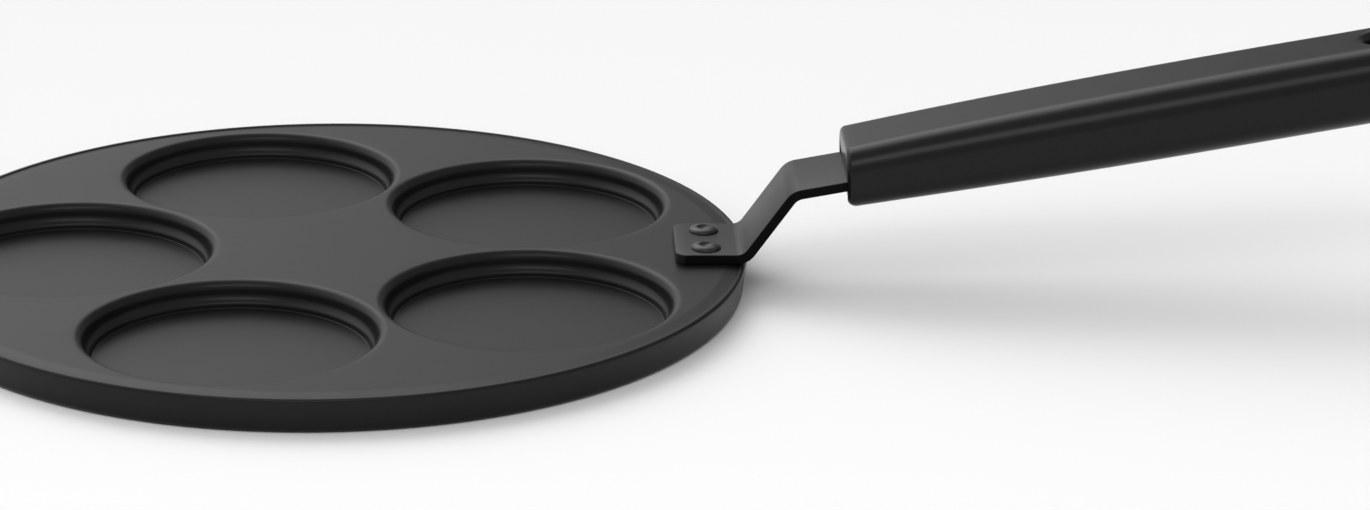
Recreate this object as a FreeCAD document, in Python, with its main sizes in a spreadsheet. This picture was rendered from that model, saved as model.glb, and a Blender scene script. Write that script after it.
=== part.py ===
import FreeCAD, Part
import math
import os

import Sketcher
from FreeCAD import Placement, Rotation, Vector

# Pancake pan: a round cast plate with five stepped cups, a flat steel strap that is riveted to
# its rim and cranked upwards, and a moulded grip on the strap's tang, held by a screw beneath.
# Millimetres, +Z up. The origin is the centre of the plate's underside, and the handle runs along +X.

doc = FreeCAD.newDocument("pancake_pan")
sheet = doc.addObject("Spreadsheet::Sheet", "dims")

# Every driving dimension, in millimetres or degrees, by the name that the features use.
DIMS = {
    # plate
    "plate_radius": 130.0,
    "plate_thickness": 10.6,
    "plate_draft": 1.2,
    "foot_round": 2.0,
    "rim_round": 0.6,
    # cups, which fill the plate but for the land round the rim and the gap between two mouths
    "cup_count": 5,
    "rim_land": 9.7,
    "cup_gap": 5.5,
    "cup_depth": 7.8,
    "wall_lean": 5.0,
    "ledge_depth": 4.9,
    "ledge_run": 1.6,
    "ledge_drop": 1.33,
    "lip_round": 2.0,
    "ledge_cove_round": 3.0,
    "ledge_edge_round": 2.0,
    "floor_cove_round": 1.5,
    # strap, which starts and bends at distances inwards from the plate's rim
    "strap_width": 31.0,
    "strap_thickness": 3.0,
    "strap_overlap": 22.5,
    "strap_bend_inset": 1.9,
    "strap_rise": 20.4,
    "strap_rise_angle": 54.7,
    "handle_pitch": 10.5,
    "strap_bend_round": 4.0,
    "pad_corner_round": 4.0,
    "strap_edge_round": 0.4,
    # tang, the narrower end of the strap inside the grip
    "tang_shoulder": 12.0,
    "tang_width": 20.0,
    "tang_length": 70.0,
    # rivets
    "rivet_inset": 13.0,
    "rivet_spread": 8.3,
    "rivet_radius": 3.0,
    "rivet_head_radius": 4.6,
    "rivet_head_edge": 0.4,
    "rivet_head_height": 1.5,
    "rivet_dome_round": 3.4,
    "rivet_dimple_radius": 2.0,
    "rivet_dimple_depth": 1.05,
    "rivet_sink_radius": 4.6,
    "rivet_recess": 0.3,
    "rivet_clearance": 0.03,
    # grip
    "grip_start": 16.75,
    "grip_straight": 14.0,
    "grip_face_tilt": 8.0,
    "grip_face_round": 1.6,
    "grip_chin_place": 3.5,
    "grip_chin_round": 5.0,
    "slot_lead": 5.0,
    "slot_clearance": 0.15,
    "slot_end_clearance": 0.5,
    "slot_mouth_round": 0.4,
    "hang_hole_radius": 6.0,
    "hang_hole_round": 3.0,
    # screw beneath the grip
    "screw_place": 45.0,
    "screw_radius": 2.0,
    "screw_head_radius": 3.9,
    "screw_head_height": 2.6,
    "screw_head_round": 0.6,
    "screw_seat": 3.2,
    "screw_reach": 3.4,
    "screw_tip_taper": 0.6,
    "screw_tip_room": 1.0,
    "screw_clearance": 0.15,
    "screw_bore_clearance": 0.03,
    "screw_socket_width": 2.5,
    "screw_socket_depth": 1.4,
}

# The grip's sections from the front to its straight rear: place along the axis, width, height
# above and below the axis, and the rounds of the shoulders and of the belly.
SECTION_SIZES = ("at", "width", "above", "below", "shoulder", "belly")
SECTIONS = {
    "front": (-3.0, 35.6, 10.6, 7.6, 7.2, 7.0),
    "quarter": (40.0, 36.4, 12.1, 8.9, 8.2, 8.2),
    "middle": (82.0, 37.0, 12.9, 9.8, 8.8, 9.0),
    "late": (122.0, 36.6, 13.2, 10.2, 9.0, 9.2),
    "rear": (156.0, 36.0, 13.1, 10.3, 8.8, 8.8),
}
for section, sizes in SECTIONS.items():
    for name, value in zip(SECTION_SIZES, sizes):
        DIMS[f"grip_{section}_{name}"] = value

# Lengths that follow from the others. Two neighbouring cups, a mouth and half a gap from the line
# between them, fix the cups' size. The grip's axis is the middle of the strap's upper stretch.
DERIVED = {
    "half_turn_sine": "=sin(180deg / cup_count)",
    "cup_mouth_radius": "=(plate_radius - rim_land - cup_gap / 2 / half_turn_sine)"
                        " / (1 + 1 / half_turn_sine)",
    "cup_circle_radius": "=plate_radius - rim_land - cup_mouth_radius",
    "strap_start": "=plate_radius - strap_overlap",
    "strap_bend_place": "=plate_radius - strap_bend_inset",
    "rivet_place": "=plate_radius - rivet_inset",
    "strap_top": "=plate_thickness + strap_thickness",
    "upper_bend_place": "=strap_bend_place + strap_rise / tan(strap_rise_angle * 1deg)",
    "axis_drop": "=strap_thickness / 2",
    "grip_front_x": "=upper_bend_place + axis_drop * sin(handle_pitch * 1deg)"
                    " + grip_start * cos(handle_pitch * 1deg)",
    "grip_front_z": "=strap_top + strap_rise - axis_drop * cos(handle_pitch * 1deg)"
                    " + grip_start * sin(handle_pitch * 1deg)",
    "ledge_outer_radius": "=cup_mouth_radius - ledge_depth * tan(wall_lean * 1deg)",
    "ledge_inner_radius": "=ledge_outer_radius - ledge_run",
    "ledge_foot_depth": "=ledge_depth + ledge_drop",
    "floor_radius": "=ledge_inner_radius - (cup_depth - ledge_foot_depth) * tan(wall_lean * 1deg)",
    "hang_hole_place": "=grip_rear_at + grip_straight",
    "seat_depth": "=axis_drop + screw_seat",
    "screw_tip": "=axis_drop + screw_reach",
}
for row, (name, value) in enumerate([*DIMS.items(), *DERIVED.items()], start=1):
    sheet.set(f"A{row}", name)
    sheet.set(f"B{row}", str(value))
    sheet.setAlias(f"B{row}", name)
    if name in DERIVED:
        doc.recompute()
doc.recompute()


def size(name):
    """The number in the sheet's cell of that name."""
    return float(sheet.get(name))


def origin_part(body, role):
    """One of the body's own origin planes or axes, found by its role."""
    for item in body.Origin.OriginFeatures:
        if item.Role == role:
            return item
    raise ValueError(role)


def new_body(name):
    body = doc.addObject("PartDesign::Body", name)
    body.Label = name
    return body


def put_on_axis(item, prefix, distance=None):
    """Places a body or a sketch in the grip's frame: x along the grip, z square to its top face."""
    rise = Rotation(Vector(0, -1, 0), size("handle_pitch"))
    place = Placement(Vector(size("grip_front_x"), 0, size("grip_front_z")), rise)
    setattr(item, prefix, place)
    item.setExpression(f".{prefix}.Rotation.Angle", "dims.handle_pitch * 1deg")
    for key, start, turn in (("x", "grip_front_x", "cos"), ("z", "grip_front_z", "sin")):
        more = f" + dims.{distance} * {turn}(dims.handle_pitch * 1deg)" if distance else ""
        item.setExpression(f".{prefix}.Base.{key}", f"dims.{start}{more}")


def new_sketch(body, name, role, at=None):
    """An empty sketch on one of the body's origin planes, or at a distance that the sheet names."""
    sketch = body.newObject("Sketcher::SketchObject", name)
    sketch.AttachmentSupport = [(origin_part(body, role), "")]
    sketch.MapMode = "FlatFace"
    if at is not None:
        sketch.setExpression(".AttachmentOffset.Base.z", at)
    return sketch


def hold(sketch, kind, *where, by=None):
    """Adds a constraint to a sketch and, where by is given, binds its value to the sheet."""
    number = sketch.addConstraint(Sketcher.Constraint(kind, *where))
    if by is not None:
        sketch.setExpression(f"Constraints[{number}]", by)
    return number


def hold_point(sketch, item, end, x_by=None, y_by=None):
    """Holds a point at a distance from the sketch's origin along x and y, or on that axis."""
    point = sketch.getPoint(item, end)
    if x_by is None:
        hold(sketch, "PointOnObject", item, end, -2)
    else:
        hold(sketch, "DistanceX", -1, 1, item, end, point.x, by=x_by)
    if y_by is None:
        hold(sketch, "PointOnObject", item, end, -1)
    else:
        hold(sketch, "DistanceY", -1, 1, item, end, point.y, by=y_by)


def draw_line(sketch, start, end, guide=False):
    return sketch.addGeometry(Part.LineSegment(Vector(*start, 0), Vector(*end, 0)), guide)


def draw_circle(sketch, x, y, radius, by, x_by=None, y_by=None, guide=False):
    """A circle whose radius and centre are bound to the sheet."""
    circle = sketch.addGeometry(Part.Circle(Vector(x, y, 0), Vector(0, 0, 1), radius), guide)
    hold(sketch, "Radius", circle, radius, by=by)
    hold_point(sketch, circle, 3, x_by, y_by)
    return circle


def polygon(sketch, points):
    """Closed lines through the points in turn; returns their numbers."""
    lines = [draw_line(sketch, start, end) for start, end in zip(points, points[1:] + points[:1])]
    for line, follower in zip(lines, lines[1:] + lines[:1]):
        hold(sketch, "Coincident", line, 2, follower, 1)
    return lines


def add(body, kind, name, profile=None, **settings):
    """Adds a PartDesign feature. A setting that is text after '=' is bound as an expression."""
    before = body.Shape.Volume if body.Tip else 0
    made = body.newObject("PartDesign::" + kind, name)
    if profile is not None:
        made.Profile = profile
    for key, value in settings.items():
        if isinstance(value, str) and value.startswith("="):
            made.setExpression(key, value[1:])
        else:
            setattr(made, key, value)
    body.Tip = made
    doc.recompute()
    if not made.Shape.isValid() or abs(body.Shape.Volume - before) < 0.01:
        raise ValueError(f"{body.Label} {name} changes nothing or is not valid")
    return made


def round_edges(body, name, radius, wanted):
    """A fillet bound to the sheet on every edge of the body's last shape that is wanted."""
    names = [f"Edge{i}" for i, edge in enumerate(body.Tip.Shape.Edges, start=1) if wanted(edge)]
    if not names:
        raise ValueError(f"{name} found no edges")
    return add(body, "Fillet", name, Base=(body.Tip, names), Radius="=" + radius)


def is_ring(edge, radius, height):
    """True for a level circular edge of that radius at that height."""
    curve = edge.Curve
    if not isinstance(curve, Part.Circle):
        return False
    level = abs(abs(curve.Axis.z) - 1) < 1e-6
    return level and abs(curve.Radius - radius) < 0.02 and abs(curve.Center.z - height) < 0.02


def plate():
    """The casting: a drafted disc, grooved once for a stepped cup that a pattern repeats."""
    body = new_body("pan_plate")
    radius, thickness, draft = size("plate_radius"), size("plate_thickness"), size("plate_draft")

    half = new_sketch(body, "disc_half", "XZ_Plane")
    foot, side, top, middle = polygon(half, [(0, 0), (radius - draft, 0), (radius, thickness),
                                             (0, thickness)])
    hold_point(half, foot, 1)
    hold_point(half, foot, 2, "dims.plate_radius - dims.plate_draft")
    hold_point(half, side, 2, "dims.plate_radius", "dims.plate_thickness")
    hold(half, "Horizontal", top)
    hold(half, "Vertical", middle)
    add(body, "Revolution", "disc", half, ReferenceAxis=(origin_part(body, "Z_Axis"), [""]), Angle=360.0)
    round_edges(body, "foot_edge", "dims.foot_round", lambda edge: is_ring(edge, radius - draft, 0))
    round_edges(body, "rim_edge", "dims.rim_round", lambda edge: is_ring(edge, radius, thickness))

    # The cup opposite the handle is cut about its own axis, and the pattern makes the others.
    centre = -size("cup_circle_radius")
    above = thickness + size("lip_round")
    rings = [
        ("floor_radius", "cup_depth", "floor_cove"),
        ("ledge_inner_radius", "ledge_foot_depth", "ledge_edge"),
        ("ledge_outer_radius", "ledge_depth", "ledge_cove"),
        ("cup_mouth_radius", "rim_depth", "lip"),
    ]
    depths = {name: size(name) for _, name, _ in rings[:3]} | {"rim_depth": 0.0}
    corners = [(centre + size(r), thickness - depths[z]) for r, z, _ in rings]
    cup = new_sketch(body, "cup_profile", "XZ_Plane")
    lines = polygon(cup, [(centre, corners[0][1]), *corners, (corners[-1][0], above), (centre, above)])
    hold_point(cup, lines[0], 1, "-dims.cup_circle_radius", "dims.plate_thickness - dims.cup_depth")
    for line, (r, z, _) in zip(lines[1:], rings):
        height = "dims.plate_thickness" + (f" - dims.{z}" if depths[z] else "")
        hold_point(cup, line, 1, f"-dims.cup_circle_radius + dims.{r}", height)
    hold_point(cup, lines[5], 1, "-dims.cup_circle_radius + dims.cup_mouth_radius",
               "dims.plate_thickness + dims.lip_round")
    hold(cup, "Horizontal", lines[5])
    hold(cup, "Vertical", lines[6])
    spindle = draw_line(cup, (centre, 0), (centre, thickness), guide=True)
    hold_point(cup, spindle, 1, "-dims.cup_circle_radius")
    hold_point(cup, spindle, 2, "-dims.cup_circle_radius", "dims.plate_thickness")
    doc.recompute()
    groove = add(body, "Groove", "cup", cup, ReferenceAxis=(cup, ["Axis0"]), Angle=360.0)
    add(body, "PolarPattern", "cups", Originals=[groove], Angle=360.0, Occurrences="=dims.cup_count",
        Axis=(origin_part(body, "Z_Axis"), [""]))
    for r, z, name in reversed(rings):
        round_edges(body, name, f"dims.{name}_round",
                    lambda edge: is_ring(edge, size(r), thickness - depths[z]))

    bores = new_sketch(body, "rivet_places", "XY_Plane")
    draw_rivet_circles(bores)
    doc.recompute()
    add(body, "Hole", "rivet_bores", bores, Reversed=True, ThreadType="None", DepthType="ThroughAll",
        Diameter="=2 * (dims.rivet_radius + dims.rivet_clearance)", HoleCutType="Countersink",
        HoleCutCustomValues=True, HoleCutDiameter="=2 * dims.rivet_sink_radius",
        HoleCutCountersinkAngle=90.0)
    return body


def draw_rivet_circles(sketch):
    """The two rivet holes, drawn on a sketch whose x and y are the world's."""
    radius = size("rivet_radius") + size("rivet_clearance")
    for sign in (1, -1):
        draw_circle(sketch, size("rivet_place"), sign * size("rivet_spread"), radius,
                    "dims.rivet_radius + dims.rivet_clearance", "dims.rivet_place",
                    f"{sign} * dims.rivet_spread")


def strap():
    """The flat bar: its side view with two bends, padded to the width, then cut to the tang."""
    body = new_body("handle_strap")
    pitch, steep = math.radians(size("handle_pitch")), math.radians(size("strap_rise_angle"))
    thick, top, base = size("strap_thickness"), size("strap_top"), size("plate_thickness")
    lower = Vector(size("strap_bend_place"), top, 0)
    upper = Vector(size("upper_bend_place"), top + size("strap_rise"), 0)
    along = Vector(math.cos(pitch), math.sin(pitch), 0)
    inward = Vector(math.sin(pitch), -math.cos(pitch), 0) * thick
    end = upper + along * (size("grip_start") + size("tang_length"))
    lower_under = lower + Vector(math.tan(steep / 2), -1, 0) * thick
    upper_under = upper + inward + along * (math.tan((steep - pitch) / 2) * thick)
    end_under = end + inward
    side = new_sketch(body, "side_view", "XZ_Plane")
    outline = [(size("strap_start"), top)]
    outline += [(point.x, point.y) for point in (lower, upper, end, end_under, upper_under, lower_under)]
    outline += [(size("strap_start"), base)]
    pad, slope, rear, tip, rear_under, slope_under, pad_under, front = polygon(side, outline)
    hold_point(side, pad, 1, "dims.strap_start", "dims.strap_top")
    hold_point(side, slope, 1, "dims.strap_bend_place", "dims.strap_top")
    hold_point(side, rear, 1, "dims.upper_bend_place", "dims.strap_top + dims.strap_rise")
    hold(side, "Angle", rear, pitch, by="dims.handle_pitch * 1deg")
    hold(side, "Distance", rear, (end - upper).Length, by="dims.grip_start + dims.tang_length")
    hold(side, "Perpendicular", rear, tip)
    hold(side, "Parallel", rear, rear_under)
    hold(side, "Parallel", slope, slope_under)
    hold(side, "Horizontal", pad_under)
    hold(side, "Vertical", front)
    for over, under in ((rear, rear_under), (slope, slope_under), (pad, pad_under)):
        hold(side, "Distance", under, 1, over, thick, by="dims.strap_thickness")
    doc.recompute()
    add(body, "Pad", "bar", side, Length="=dims.strap_width", SideType="Symmetric")

    def is_bend(edge, corners):
        middle = edge.CenterOfMass
        near = min(math.hypot(middle.x - corner.x, middle.z - corner.y) for corner in corners)
        return near < 0.1 and edge.Length > size("strap_width") - 1

    round_edges(body, "inner_bends", "dims.strap_bend_round",
                lambda edge: is_bend(edge, (lower, upper_under)))
    round_edges(body, "outer_bends", "dims.strap_bend_round + dims.strap_thickness",
                lambda edge: is_bend(edge, (upper, lower_under)))

    plan = new_sketch(body, "tang_plan", "XY_Plane")
    put_on_axis(plan, "AttachmentOffset")
    shoulder, tail = size("tang_shoulder"), size("tang_length") + thick
    for sign in (1, -1):
        near, far = sign * size("tang_width") / 2, sign * size("strap_width")
        inner, _, outer, _ = polygon(plan, [(shoulder, near), (tail, near), (tail, far), (shoulder, far)])
        for line, end, x_by, y_by in (
                (inner, 1, "dims.tang_shoulder", "dims.tang_width / 2"),
                (inner, 2, "dims.tang_length + dims.strap_thickness", "dims.tang_width / 2"),
                (outer, 1, "dims.tang_length + dims.strap_thickness", "dims.strap_width"),
                (outer, 2, "dims.tang_shoulder", "dims.strap_width")):
            hold_point(plan, line, end, x_by, f"{sign} * {y_by}")
    doc.recompute()
    add(body, "Pocket", "tang", plan, Length="=4 * dims.strap_thickness", SideType="Symmetric")

    drill = new_sketch(body, "tang_hole", "XY_Plane")
    put_on_axis(drill, "AttachmentOffset")
    draw_circle(drill, size("screw_place"), 0, size("screw_radius") + size("screw_clearance"),
                "dims.screw_radius + dims.screw_clearance", "dims.screw_place")
    doc.recompute()
    add(body, "Pocket", "screw_way", drill, Length="=4 * dims.strap_thickness", SideType="Symmetric")

    bores = new_sketch(body, "rivet_places_in_pad", "XY_Plane")
    draw_rivet_circles(bores)
    doc.recompute()
    add(body, "Pocket", "rivet_ways", bores, Length="=dims.strap_top + dims.strap_thickness",
        Reversed=True)

    def is_pad_corner(edge):
        middle = edge.CenterOfMass
        upright = abs(edge.Length - thick) < 0.01 and abs(middle.z - (top + base) / 2) < 0.01
        return upright and abs(middle.x - size("strap_start")) < 0.01

    def is_pad_side(edge):
        middle = edge.CenterOfMass
        on_side = abs(abs(middle.y) - size("strap_width") / 2) < 0.01
        level = min(abs(middle.z - top), abs(middle.z - base)) < 0.01
        return on_side and level and middle.x < size("strap_bend_place")

    round_edges(body, "pad_corners", "dims.pad_corner_round", is_pad_corner)
    round_edges(body, "long_edges", "dims.strap_edge_round", is_pad_side)
    return body


def arc_between(start, end, radius):
    """The short arc of that radius from one point to the other, bulging to the right of the way."""
    way = end - start
    side = Vector(way.y, -way.x, 0).normalize()
    rise = radius - math.sqrt(radius ** 2 - way.Length ** 2 / 4)
    return Part.Arc(start, (start + end) * 0.5 + side * rise, end)


def rivets():
    """One rivet by revolution, its mirror image, and both together as one node."""
    rivet = new_body("rivet")
    top, low = size("strap_top"), size("rivet_recess")
    radius, head = size("rivet_radius"), size("rivet_head_radius")
    foot = size("rivet_sink_radius") - low - 2 * size("rivet_clearance")
    crest = top + size("rivet_head_height")
    hollow, dip = size("rivet_dimple_radius"), size("rivet_dimple_depth")
    half = new_sketch(rivet, "rivet_half", "XZ_Plane")
    corners = [
        (0, low, None, "dims.rivet_recess"),
        (foot, low, "dims.rivet_sink_radius - dims.rivet_recess - 2 * dims.rivet_clearance",
         "dims.rivet_recess"),
        (radius, low + foot - radius, "dims.rivet_radius",
         "dims.rivet_sink_radius - dims.rivet_radius - 2 * dims.rivet_clearance"),
        (radius, top, "dims.rivet_radius", "dims.strap_top"),
        (head, top, "dims.rivet_head_radius", "dims.strap_top"),
        (head, top + size("rivet_head_edge"), "dims.rivet_head_radius",
         "dims.strap_top + dims.rivet_head_edge"),
    ]
    lines = [draw_line(half, a[:2], b[:2]) for a, b in zip(corners, corners[1:])]
    dome = half.addGeometry(arc_between(Vector(head, corners[-1][1], 0), Vector(hollow, crest, 0),
                                        size("rivet_dome_round")), False)
    bowl_radius = (hollow ** 2 + dip ** 2) / (2 * dip)
    bowl_circle = Part.Circle(Vector(0, crest - dip + bowl_radius, 0), Vector(0, 0, 1), bowl_radius)
    bowl_end = -math.acos(hollow / bowl_radius)
    bowl = half.addGeometry(Part.ArcOfCircle(bowl_circle, -math.pi / 2, bowl_end), False)
    spine = draw_line(half, (0, crest - dip), (0, low))
    for item, end, follower, start in (
            *((a, 2, b, 1) for a, b in zip(lines, lines[1:])),
            (lines[-1], 2, dome, 1), (dome, 2, bowl, 2), (bowl, 1, spine, 1), (spine, 2, lines[0], 1)):
        hold(half, "Coincident", item, end, follower, start)
    for line, (_, _, x_by, y_by) in zip([*lines, dome], corners):
        hold_point(half, line, 1, x_by, y_by)
    hold_point(half, dome, 2, "dims.rivet_dimple_radius", "dims.strap_top + dims.rivet_head_height")
    hold(half, "Radius", dome, size("rivet_dome_round"), by="dims.rivet_dome_round")
    hold_point(half, bowl, 1, None, "dims.strap_top + dims.rivet_head_height - dims.rivet_dimple_depth")
    hold(half, "PointOnObject", bowl, 3, -2)
    doc.recompute()
    add(rivet, "Revolution", "rivet_solid", half, ReferenceAxis=(origin_part(rivet, "Z_Axis"), [""]),
        Angle=360.0)
    rivet.setExpression(".Placement.Base.x", "dims.rivet_place")
    rivet.setExpression(".Placement.Base.y", "dims.rivet_spread")
    doc.recompute()
    twin = doc.addObject("Part::Mirroring", "rivet_twin")
    twin.Source = rivet
    twin.Normal = Vector(0, 1, 0)
    pair = doc.addObject("Part::Compound", "strap_rivets")
    pair.Links = [rivet, twin]
    pair.Label = "strap_rivets"
    doc.recompute()
    return pair


def grip_section(body, name, half_only=False, at=None):
    """A rounded section of the grip at its place along the axis, or its half on the +Y side."""
    width, above, below, shoulder, belly = (size(f"grip_{name}_{key}") for key in SECTION_SIZES[1:])
    sketch = new_sketch(body, f"section_{name}_{'half' if half_only else 'full'}", "YZ_Plane",
                        at or f"dims.grip_{name}_at")
    half = width / 2
    left = 0 if half_only else -half
    quarter = math.pi / 2
    top = draw_line(sketch, (left if half_only else shoulder - half, above), (half - shoulder, above))
    right = draw_line(sketch, (half, above - shoulder), (half, belly - below))
    bottom = draw_line(sketch, (half - belly, -below), (left if half_only else belly - half, -below))

    def corner(x, y, radius, start, key):
        circle = Part.Circle(Vector(x, y, 0), Vector(0, 0, 1), radius)
        arc = sketch.addGeometry(Part.ArcOfCircle(circle, start * quarter, (start + 1) * quarter), False)
        hold(sketch, "Radius", arc, radius, by=f"dims.grip_{name}_{key}")
        return arc

    top_right = corner(half - shoulder, above - shoulder, shoulder, 0, "shoulder")
    bottom_right = corner(half - belly, belly - below, belly, 3, "belly")
    hold(sketch, "Tangent", top, 2, top_right, 2)
    hold(sketch, "Tangent", top_right, 1, right, 1)
    hold(sketch, "Tangent", right, 2, bottom_right, 2)
    hold(sketch, "Tangent", bottom_right, 1, bottom, 1)
    if half_only:
        spine = draw_line(sketch, (0, -below), (0, above))
        hold(sketch, "Coincident", bottom, 2, spine, 1)
        hold(sketch, "Coincident", spine, 2, top, 1)
        hold(sketch, "PointOnObject", spine, 1, -2)
        hold(sketch, "Vertical", spine)
    else:
        side = draw_line(sketch, (-half, belly - below), (-half, above - shoulder))
        bottom_left = corner(belly - half, belly - below, belly, 2, "belly")
        top_left = corner(shoulder - half, above - shoulder, shoulder, 1, "shoulder")
        hold(sketch, "Tangent", bottom, 2, bottom_left, 2)
        hold(sketch, "Tangent", bottom_left, 1, side, 1)
        hold(sketch, "Tangent", side, 2, top_left, 2)
        hold(sketch, "Tangent", top_left, 1, top, 1)
        hold(sketch, "Vertical", side)
        hold(sketch, "DistanceX", side, 1, -1, 1, half, by=f"dims.grip_{name}_width / 2")
    hold(sketch, "Horizontal", top)
    hold(sketch, "Vertical", right)
    hold(sketch, "Horizontal", bottom)
    hold(sketch, "DistanceX", -1, 1, right, 1, half, by=f"dims.grip_{name}_width / 2")
    hold(sketch, "DistanceY", -1, 1, top, 2, above, by=f"dims.grip_{name}_above")
    hold(sketch, "DistanceY", bottom, 1, -1, 1, below, by=f"dims.grip_{name}_below")
    return sketch


def cut_slot(body, name, width, length):
    """A flat slot along the grip's axis, open at the front. The strap lies on its lower face."""
    thick, room = size("strap_thickness") / 2, size("slot_clearance")
    wide = size(width) / 2 + room
    mouth = new_sketch(body, name + "_mouth", "YZ_Plane", "-dims.slot_lead")
    lower, _, upper, _ = polygon(mouth, [(-wide, -thick), (wide, -thick), (wide, thick + room),
                                         (-wide, thick + room)])
    half_by, top_by = f"(dims.{width} / 2 + dims.slot_clearance)", "dims.axis_drop + dims.slot_clearance"
    hold_point(mouth, lower, 1, f"-{half_by}", "-dims.axis_drop")
    hold_point(mouth, lower, 2, half_by, "-dims.axis_drop")
    hold_point(mouth, upper, 1, half_by, top_by)
    hold_point(mouth, upper, 2, f"-{half_by}", top_by)
    doc.recompute()
    add(body, "Pocket", name, mouth, Reversed=True,
        Length=f"=dims.slot_lead + dims.{length} + dims.slot_end_clearance")


def grip():
    """The moulding: lofted sections, a straight rear, a half-round end, the slot and the holes."""
    body = new_body("handle_grip")
    sections = [grip_section(body, name) for name in SECTIONS]
    doc.recompute()
    add(body, "AdditiveLoft", "handle", sections[0], Sections=sections[1:], Ruled=False)
    add(body, "Pad", "straight_rear", sections[-1], Length="=dims.grip_straight")
    cap = grip_section(body, "rear", half_only=True, at="dims.hang_hole_place")
    doc.recompute()
    add(body, "Revolution", "round_end", cap, ReferenceAxis=(cap, ["V_Axis"]), Angle=180.0, Reversed=True)

    # The front is cut along a slanted line that turns backwards in an arc, the chin, near the bottom.
    tilt, turn = math.radians(size("grip_face_tilt")), size("grip_chin_round")
    lean, chin = math.tan(tilt), -size("grip_chin_place")
    reach = size("grip_middle_width")
    middle = Vector(chin * lean + turn * math.cos(tilt), chin - turn * math.sin(tilt), 0)
    face = new_sketch(body, "face_cut", "XZ_Plane")
    corners = [(chin * lean, chin), (reach * lean, reach), (-reach, reach), (-reach, -reach),
               (middle.x, -reach), (middle.x, middle.y - turn)]
    lines = [draw_line(face, a, b) for a, b in zip(corners, corners[1:])]
    for line, follower in zip(lines, lines[1:]):
        hold(face, "Coincident", line, 2, follower, 1)
    circle = Part.Circle(middle, Vector(0, 0, 1), turn)
    arc = face.addGeometry(Part.ArcOfCircle(circle, math.pi - tilt, 1.5 * math.pi), False)
    hold(face, "Tangent", lines[0], 1, arc, 1)
    hold(face, "Coincident", lines[-1], 2, arc, 2)
    hold(face, "Radius", arc, turn, by="dims.grip_chin_round")
    hold(face, "Vertical", arc, 3, arc, 2)
    lean_by = "tan(dims.grip_face_tilt * 1deg)"
    hold_point(face, lines[0], 1, "-dims.grip_chin_place * " + lean_by, "-dims.grip_chin_place")
    hold_point(face, lines[0], 2, "dims.grip_middle_width * " + lean_by, "dims.grip_middle_width")
    hold_point(face, lines[1], 2, "-dims.grip_middle_width", "dims.grip_middle_width")
    hold_point(face, lines[3], 1, "-dims.grip_middle_width", "-dims.grip_middle_width")
    hold(face, "Horizontal", lines[3])
    hold(face, "Vertical", lines[4])
    doc.recompute()
    add(body, "Pocket", "front_face", face, Length="=2 * dims.grip_middle_width", SideType="Symmetric")

    cut_slot(body, "strap_slot", "strap_width", "tang_shoulder")
    cut_slot(body, "tang_slot", "tang_width", "tang_length")

    hole = new_sketch(body, "hang_hole_circle", "XY_Plane")
    draw_circle(hole, size("hang_hole_place"), 0, size("hang_hole_radius"), "dims.hang_hole_radius",
                "dims.hang_hole_place")
    doc.recompute()
    add(body, "Pocket", "hang_hole", hole, Length="=2 * dims.grip_middle_width", SideType="Symmetric")

    for name, radius, room, length, upward in (
            ("head_recess", "screw_head_radius", "screw_clearance", "dims.grip_middle_below", False),
            ("screw_bore", "screw_radius", "screw_bore_clearance",
             "dims.seat_depth + dims.screw_tip + dims.screw_tip_room", True)):
        circle = new_sketch(body, name + "_circle", "XY_Plane", "-dims.seat_depth")
        draw_circle(circle, size("screw_place"), 0, size(radius) + size(room),
                    f"dims.{radius} + dims.{room}", "dims.screw_place")
        doc.recompute()
        add(body, "Pocket", name, circle, Length="=" + length, Reversed=upward)

    def on_front_face(edge):
        """True for an edge whose ends lie on the slanted face or the chin, but not the line between."""
        ends = [vertex.Point for vertex in edge.Vertexes]
        on_front = all(abs(end.x - end.z * lean) < 0.01
                       or abs(math.hypot(end.x - middle.x, end.z - middle.y) - turn) < 0.01 for end in ends)
        return on_front and not all(abs(end.z - chin) < 0.01 for end in ends)

    def on_slot(edge):
        middle = edge.CenterOfMass
        room = size("slot_clearance") + 0.01
        return (abs(middle.z) < size("axis_drop") + room
                and abs(middle.y) < size("strap_width") / 2 + room)

    round_edges(body, "face_round", "dims.grip_face_round",
                lambda edge: on_front_face(edge) and not on_slot(edge))
    round_edges(body, "mouth_round", "dims.slot_mouth_round",
                lambda edge: on_front_face(edge) and on_slot(edge))
    rims = (size("grip_rear_above"), -size("grip_rear_below"))
    round_edges(body, "hang_hole_rims", "dims.hang_hole_round",
                lambda edge: any(is_ring(edge, size("hang_hole_radius"), z) for z in rims))
    put_on_axis(body, "Placement")
    doc.recompute()
    return body


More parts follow.
